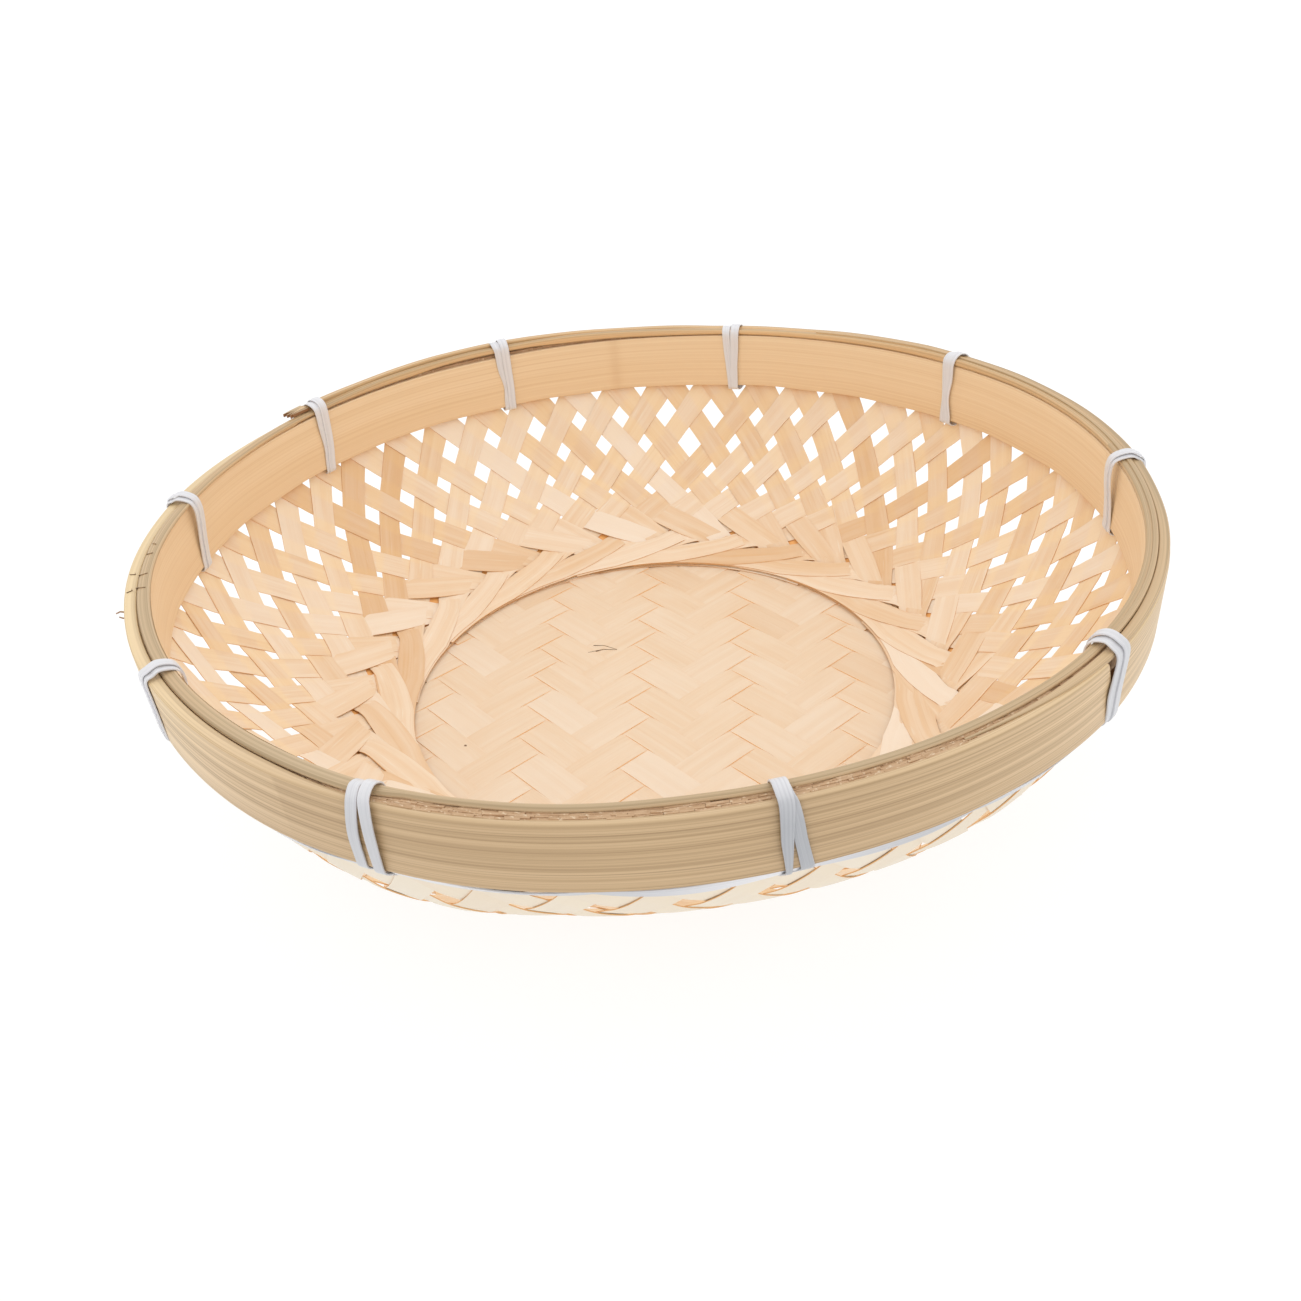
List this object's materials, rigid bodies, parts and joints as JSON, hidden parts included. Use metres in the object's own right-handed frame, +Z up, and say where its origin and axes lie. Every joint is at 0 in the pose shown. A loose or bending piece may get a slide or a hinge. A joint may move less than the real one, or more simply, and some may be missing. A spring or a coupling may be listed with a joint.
{
  "type": "winnowing basket",
  "caption": "Round shallow basket woven from bamboo splits, with a twill floor, an open lattice wall and a double hoop rim lashed with flat plastic strip.",
  "frame": {"origin": "centre of the floor's underside, on the ground the basket stands on", "axes": "+Z up out of the basket's mouth, X and Y across the rim"},
  "size_m": [0.3006, 0.3, 0.0778],
  "materials": {
    "bamboo_split": "raw split bamboo, matte with a faint sheen",
    "bamboo_hoop": "shaved bamboo lath with fine lengthwise grain",
    "bamboo_inner_hoop": "shaved bamboo lath with fine lengthwise grain",
    "bamboo_skin": "grey-green bamboo skin, satin",
    "plastic_strip": "slightly milky flat plastic strip, soft gloss"
  },
  "bodies": {
    "root": {"woven_base": "bamboo_split", "woven_wall": "bamboo_split", "outer_hoop": "bamboo_hoop", "inner_hoop": "bamboo_inner_hoop", "cap_strip": "bamboo_skin", "tie_01_first_turn": "plastic_strip", "tie_01_second_turn": "plastic_strip", "tie_02_first_turn": "plastic_strip", "tie_02_second_turn": "plastic_strip", "tie_03_first_turn": "plastic_strip", "tie_03_second_turn": "plastic_strip", "tie_04_first_turn": "plastic_strip", "tie_04_second_turn": "plastic_strip", "tie_05_first_turn": "plastic_strip", "tie_05_second_turn": "plastic_strip", "tie_06_first_turn": "plastic_strip", "tie_06_second_turn": "plastic_strip", "tie_07_first_turn": "plastic_strip", "tie_07_second_turn": "plastic_strip", "tie_08_first_turn": "plastic_strip", "tie_08_second_turn": "plastic_strip", "tie_09_first_turn": "plastic_strip", "tie_09_second_turn": "plastic_strip", "tie_10_first_turn": "plastic_strip", "tie_10_second_turn": "plastic_strip", "lashing_run_01": "plastic_strip", "lashing_run_02": "plastic_strip", "lashing_run_03": "plastic_strip", "lashing_run_04": "plastic_strip", "lashing_run_05": "plastic_strip", "lashing_run_06": "plastic_strip", "lashing_run_07": "plastic_strip", "lashing_run_08": "plastic_strip", "lashing_run_09": "plastic_strip", "lashing_run_10": "plastic_strip"}
  },
  "joints": []
}
